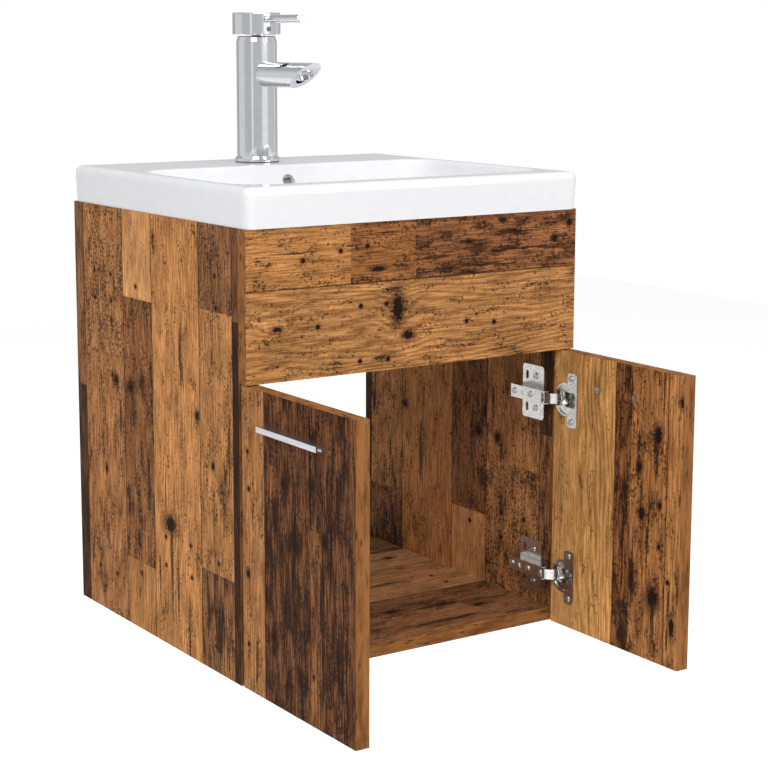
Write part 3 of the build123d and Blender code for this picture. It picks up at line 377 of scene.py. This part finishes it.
    # Weathering: dark worn patches drawn out along the grain
    worn_place = add(tree, "VectorMath", {0: grain_place, 1: worn_pitch}, operation="MULTIPLY")
    worn = add(tree, "TexNoise", {"Vector": worn_place, "Scale": 1.0, "Detail": 8.0,
                                  "Roughness": 0.72})
    worn_fibre = add(tree, "Math", {0: pores.outputs[0], 1: worn_pore_weight, 2: worn.outputs[0]},
                     operation="MULTIPLY_ADD")
    worn_level = add(tree, "Math", {0: amount.outputs[2], 1: worn_weight, 2: worn_fibre},
                     operation="MULTIPLY_ADD")
    worn_tone = fade(tree, worn_level, *worn_span)
    worn_part = add(tree, "Math", {0: worn_tone, 1: worn_strength}, operation="MULTIPLY")
    colour = add(tree, "MixRGB", {0: worn_part, 1: colour, 2: linear(worn_brown)})

    # Insect specks and short dark ticks, thicker where the plank is listed as speckled
    fleck_place = add(tree, "VectorMath", {0: grain_place, 1: fleck_pitch}, operation="MULTIPLY")
    flecks = add(tree, "TexNoise", {"Vector": fleck_place, "Scale": 1.0, "Detail": 5.0,
                                    "Roughness": 0.7})
    crowd = add(tree, "TexNoise", {"Vector": worn_place, "Scale": 2.0, "Detail": 3.0})
    crowd_part = add(tree, "Math", {0: crowd.outputs[0], 1: crowd_weight, 2: flecks.outputs[0]},
                     operation="MULTIPLY_ADD")
    fleck_level = add(tree, "Math", {0: amount.outputs[1], 1: fleck_weight, 2: crowd_part},
                      operation="MULTIPLY_ADD")
    speck_tone = fade(tree, fleck_level, *fleck_span)
    tick_place = add(tree, "VectorMath", {0: grain_place, 1: tick_pitch}, operation="MULTIPLY")
    ticks = add(tree, "TexVoronoi", {"Vector": tick_place, "Scale": 1.0}, feature="F1")
    tick_tone = fade(tree, ticks.outputs["Distance"], *tick_span)
    tick_value = add(tree, "SeparateColor", {0: ticks.outputs["Color"]})
    tick_some = fade(tree, tick_value.outputs[1], *tick_choice)
    tick_part = add(tree, "Math", {0: tick_tone, 1: tick_some}, operation="MULTIPLY")
    small_marks = add(tree, "Math", {0: speck_tone, 1: tick_part}, operation="MAXIMUM")
    small_soft = add(tree, "Math", {0: small_marks, 1: speck_strength}, operation="MULTIPLY")
    colour = add(tree, "MixRGB", {0: small_soft, 1: colour, 2: linear(dark_mark)})

    # Knots with a brown rim, open cracks, and nail holes with their rust stain
    rim = fade(tree, knot_reach, *knot_rim)
    rim_part = add(tree, "Math", {0: rim, 1: rim_strength}, operation="MULTIPLY")
    colour = add(tree, "MixRGB", {0: rim_part, 1: colour, 2: linear(worn_brown)})
    core = fade(tree, knot_reach, *knot_core)
    open_crack = fade(tree, crack_reach, *crack_span)
    crack_part = add(tree, "Math", {0: open_crack, 1: crack_strength}, operation="MULTIPLY")
    rust = fade(tree, nail_reach, nail_radius, rust_radius)
    rust_part = add(tree, "Math", {0: rust, 1: rust_strength}, operation="MULTIPLY")
    colour = add(tree, "MixRGB", {0: rust_part, 1: colour, 2: linear(rust_brown)})
    nail = fade(tree, nail_reach, *nail_rim)
    holes = add(tree, "Math", {0: core, 1: crack_part}, operation="MAXIMUM")
    holes = add(tree, "Math", {0: holes, 1: nail}, operation="MAXIMUM")

    # Joints between the planks
    for line in sheet["seams"]:
        seam = add(tree, "Math", {0: u_rough, 1: float(line), 2: seam_width / 2},
                   operation="COMPARE")
        seam_part = add(tree, "Math", {0: seam, 1: seam_strength}, operation="MULTIPLY")
        holes = add(tree, "Math", {0: holes, 1: seam_part}, operation="MAXIMUM")
    colour = add(tree, "MixRGB", {0: holes, 1: colour, 2: linear(dark_mark)})

    # Edges carry a plainer band with a few dark dashes
    facing = add(tree, "SeparateXYZ", {0: add(tree, "TexCoord").outputs["Normal"]})
    through_face = add(tree, "Math", {0: facing.outputs[axes.index(through)]},
                       operation="ABSOLUTE")
    on_edge = add(tree, "Math", {0: through_face, 1: 0.5}, operation="LESS_THAN")
    band_place = add(tree, "VectorMath", {0: flat, 1: band_pitch}, operation="MULTIPLY")
    band_noise = add(tree, "TexNoise", {"Vector": band_place, "Scale": 1.0, "Detail": 6.0,
                                        "Roughness": 0.7})
    band_tone = fade(tree, band_noise.outputs[0], *band_span)
    band = add(tree, "MixRGB", {0: band_tone, 1: linear(band_light), 2: linear(band_dark)})
    dash_place = add(tree, "VectorMath", {0: flat, 1: dash_pitch}, operation="MULTIPLY")
    dashes = add(tree, "TexVoronoi", {"Vector": dash_place, "Scale": 1.0}, feature="F1")
    dash = fade(tree, dashes.outputs["Distance"], *dash_span)
    dash_part = add(tree, "Math", {0: dash, 1: dash_strength}, operation="MULTIPLY")
    band = add(tree, "MixRGB", {0: dash_part, 1: band, 2: linear(dark_mark)})
    colour = add(tree, "MixRGB", {0: on_edge, 1: colour, 2: band})

    # The embossed film: pores, marks and joints sink by a tenth of a millimetre or so
    sunk = add(tree, "Math", {0: holes, 1: small_marks}, operation="MAXIMUM")
    height = add(tree, "Math", {0: sunk, 1: -1.0, 2: pores.outputs[0]}, operation="MULTIPLY_ADD")
    bump = add(tree, "Bump", {"Strength": film_relief_strength, "Distance": film_relief,
                              "Height": height})
    sheen = add(tree, "MapRange", {0: pores.outputs[0], 1: noise_low, 2: noise_high,
                                   3: film_gloss[0], 4: film_gloss[1]})
    tree.links.new(colour.outputs[0], shader.inputs["Base Color"])
    tree.links.new(sheen.outputs[0], shader.inputs["Roughness"])
    tree.links.new(bump.outputs[0], shader.inputs["Normal"])
    shader.inputs["Specular IOR Level"].default_value = film_specular
    return material


# ---------------------------------------------------------------- other finishes

def plain_finish(name, pale, deep, size, stretch, low, high, relief, **values):
    """A finish whose tone and roughness, from low to high, vary at a real size in millimetres."""
    material, tree, shader = new_material(name)
    place = add(tree, "TexCoord").outputs["Object"]
    sized = add(tree, "VectorMath", {0: place, 1: tuple(millimetres * s / size for s in stretch)},
                operation="MULTIPLY")
    tone = add(tree, "TexNoise", {"Vector": sized, "Scale": 1.0, "Detail": 4.0, "Roughness": 0.6})
    amount = add(tree, "MapRange", {0: tone.outputs[0], 1: noise_low, 2: noise_high})
    colour = add(tree, "MixRGB", {0: amount, 1: linear(pale), 2: linear(deep)})
    gloss = add(tree, "MapRange", {0: tone.outputs[0], 1: noise_low, 2: noise_high, 3: low,
                                   4: high})
    bump = add(tree, "Bump", {"Strength": 0.5, "Distance": relief, "Height": tone.outputs[0]})
    tree.links.new(colour.outputs[0], shader.inputs["Base Color"])
    tree.links.new(gloss.outputs[0], shader.inputs["Roughness"])
    tree.links.new(bump.outputs[0], shader.inputs["Normal"])
    for socket, value in values.items():
        shader.inputs[socket.replace("_", " ")].default_value = value
    return material


finishes = {
    # Beech dowel: pale, fine fluted grain
    "dowel_wood": plain_finish("turned_beech", "#d0a775", "#b4895a", 1.2, (1, 1, 0.1),
                               0.5, 0.65, 5e-5),
    # Fired glaze: bright white, glossy, very slightly wavy
    "basin_ceramic": plain_finish("glazed_white_ceramic", "#e9e9ec", "#e4e4e7", 14, (1, 1, 1),
                                  0.10, 0.16, 1e-5, IOR=1.52),
    # Polished chromium over nickel: mirror bright, only a trace of water haze
    "polished_chrome": plain_finish("polished_chrome_plate", "#dfe0e3", "#d6d7da", 9, (1, 1, 1),
                                    0.04, 0.09, 3e-6, Metallic=1.0),
    # Nickel-plated pressed steel: bright with a soft satin break
    "nickel_steel": plain_finish("nickel_plated_steel", "#dcd9d5", "#c2bfbb", 2.5, (1, 1, 1),
                                 0.16, 0.30, 1e-5, Metallic=1.0),
    # Zinc-plated screws: bright, a little blue
    "screw_steel": plain_finish("zinc_plated_steel", "#c4c6c9", "#a9abae", 1.2, (1, 1, 1),
                                0.2, 0.36, 1e-5, Metallic=1.0),
    # Pressure-cast zinc: dull grey with a fine grit
    "zinc_fitting": plain_finish("pressure_cast_zinc", "#a8a9aa", "#8e8f91", 0.8, (1, 1, 1),
                                 0.38, 0.52, 2e-5, Metallic=1.0),
    # Satin anodised extrusion: fine drawn lines along its length
    "handle_aluminium": plain_finish("satin_anodised_aluminium", "#d6d7da", "#c3c4c8", 0.7,
                                     (1, 0.02, 1), 0.24, 0.36, 6e-6, Metallic=1.0),
    # Machined brass: warm, turning marks
    "brass_body": plain_finish("machined_brass", "#cda75a", "#b8924a", 0.9, (1, 1, 1),
                               0.2, 0.34, 1e-5, Metallic=1.0),
    # Moulded rubber: near black, matt
    "seal_rubber": plain_finish("moulded_rubber", "#1f1f20", "#2a2a2b", 1.5, (1, 1, 1),
                                0.6, 0.8, 3e-5),
    # Moulded acetal: off-white, faint flow marks
    "cartridge_plastic": plain_finish("moulded_acetal", "#dcdcd8", "#cfcfca", 4, (1, 1, 1),
                                      0.35, 0.5, 1e-5),
    # Moulded plastic cap: mid grey, satin
    "index_plastic": plain_finish("moulded_grey_plastic", "#64666a", "#585a5e", 3, (1, 1, 1),
                                  0.3, 0.42, 1e-5),
}
boards = {
    "left_side_panel": plank_laminate("plank_laminate_left_side", "Y", "Z", side_sheet),
    "right_side_panel": plank_laminate("plank_laminate_right_side", "Y", "Z", side_sheet, True),
    "front_panel": plank_laminate("plank_laminate_front", "Z", "X", front_sheet),
    "left_door": plank_laminate("plank_laminate_left_door", "Y", "Z", left_door_sheet),
    "right_door": plank_laminate("plank_laminate_right_door", "Y", "Z", right_door_sheet),
    "bottom_panel": plank_laminate("plank_laminate_floor", "Y", "X", floor_sheet),
    "hanging_rail": plank_laminate("plank_laminate_rail", "Z", "X", rail_sheet),
}
for name, node in nodes.items():
    node.data.materials.clear()
    node.data.materials.append(boards.get(name) or finishes[slot_of[name]])


# ---------------------------------------------------------------- floor, light and background

floor_level = -0.77
floor_size = 8
floor_roughness = 0.9
floor_glow = 0.45  # towards the camera and in mirrors only
soft_light = 0.50

bpy.ops.object.select_all(action="DESELECT")
bpy.ops.mesh.primitive_plane_add(size=floor_size, location=(0, 0, floor_level))
floor = bpy.context.object
floor.name = "studio_floor"
bpy.ops.object.transform_apply(location=True)
material, tree, shader = new_material("white_studio_floor")
grit = add(tree, "TexNoise", {"Vector": add(tree, "TexCoord").outputs["Object"], "Scale": 3.0})
tone = add(tree, "MixRGB", {0: grit.outputs[0], 1: linear("#f6f6f6"), 2: linear("#f9f9f9")})
tree.links.new(tone.outputs[0], shader.inputs["Base Color"])
shader.inputs["Roughness"].default_value = floor_roughness
path = add(tree, "LightPath")
seen = add(tree, "Math", {0: path.outputs["Is Camera Ray"], 1: path.outputs["Is Glossy Ray"]},
           operation="MAXIMUM")
glow = add(tree, "Emission", {0: (1, 1, 1, 1), 1: floor_glow})
dark = add(tree, "Emission", {0: (0, 0, 0, 1), 1: 0.0})
lift = add(tree, "MixShader", {0: seen, 1: dark, 2: glow})
both = add(tree, "AddShader", {0: shader, 1: lift})
output = next(n for n in tree.nodes if n.type == "OUTPUT_MATERIAL")
tree.links.new(both.outputs[0], output.inputs[0])
floor.data.materials.append(material)

world = bpy.data.worlds.new("studio")
bpy.context.scene.world = world
world.use_nodes = True
tree = world.node_tree
tree.nodes.clear()
path = add(tree, "LightPath")
through = add(tree, "Math", {0: path.outputs["Is Camera Ray"],
                             1: path.outputs["Is Transmission Ray"]}, operation="MAXIMUM")
soft = add(tree, "Background", {0: (1, 1, 1, 1), 1: soft_light})
white = add(tree, "Background", {0: (1, 1, 1, 1), 1: 1.0})

# What polished metal mirrors: the white room with its soft grey walls between white screens,
# as (turn from the room's front in degrees, brightness)
room_walls = (
    (-180, 0.50), (-158, 0.50), (-150, 0.80), (-110, 0.80), (-100, 0.60), (-63, 0.60), (-60, 1.0),
    (-54, 1.0), (-50, 0.62), (-6, 0.64), (3, 1.0), (28, 1.0), (36, 0.70), (80, 0.66), (90, 0.90),
    (98, 0.55), (180, 0.50),
)
ray = add(tree, "SeparateXYZ", {0: add(tree, "TexCoord").outputs["Generated"]})
front = add(tree, "Math", {0: ray.outputs[1], 1: -1.0}, operation="MULTIPLY")
turn = add(tree, "Math", {0: ray.outputs[0], 1: front}, operation="ARCTAN2")
share = add(tree, "Math", {0: turn, 1: 0.5 / math.pi, 2: 0.5}, operation="MULTIPLY_ADD")
walls = add(tree, "ValToRGB", {0: share})
stops = walls.color_ramp.elements
for number, (degrees, level) in enumerate(room_walls):
    place = degrees / 360 + 0.5
    if number == 0:
        stop = stops[0]
    elif number == len(room_walls) - 1:
        stop = stops[len(stops) - 1]
    else:
        stop = stops.new(place)
    stop.position = place
    stop.color = (level, level, level, 1)
mirrored_room = add(tree, "Background", {0: walls, 1: 1.0})
lit = add(tree, "MixShader", {0: path.outputs["Is Glossy Ray"], 1: soft, 2: mirrored_room})
mixed = add(tree, "MixShader", {0: through, 1: lit, 2: white})
add(tree, "OutputWorld", {0: mixed})

# Area lamps, all aimed at the unit's middle: name, place, side of the square, watts
lamp_aim = Vector((0, -0.3, -0.1))
lamps = (
    ("key_lamp", (-2.6, -2.4, 1.9), 1.8, 65),
    ("front_lamp", (1.2, -3.0, 1.0), 1.6, 25),
    ("top_lamp", (0.1, -0.6, 2.4), 1.6, 22),
)
for name, place, width, watts in lamps:
    light = bpy.data.lights.new(name, "AREA")
    light.shape = "SQUARE"
    light.size = width
    light.energy = watts
    lamp = bpy.data.objects.new(name, light)
    bpy.context.scene.collection.objects.link(lamp)
    lamp.location = place
    lamp.rotation_euler = (lamp_aim - Vector(place)).to_track_quat("-Z", "Y").to_euler()

bpy.context.scene.view_settings.view_transform = "Standard"
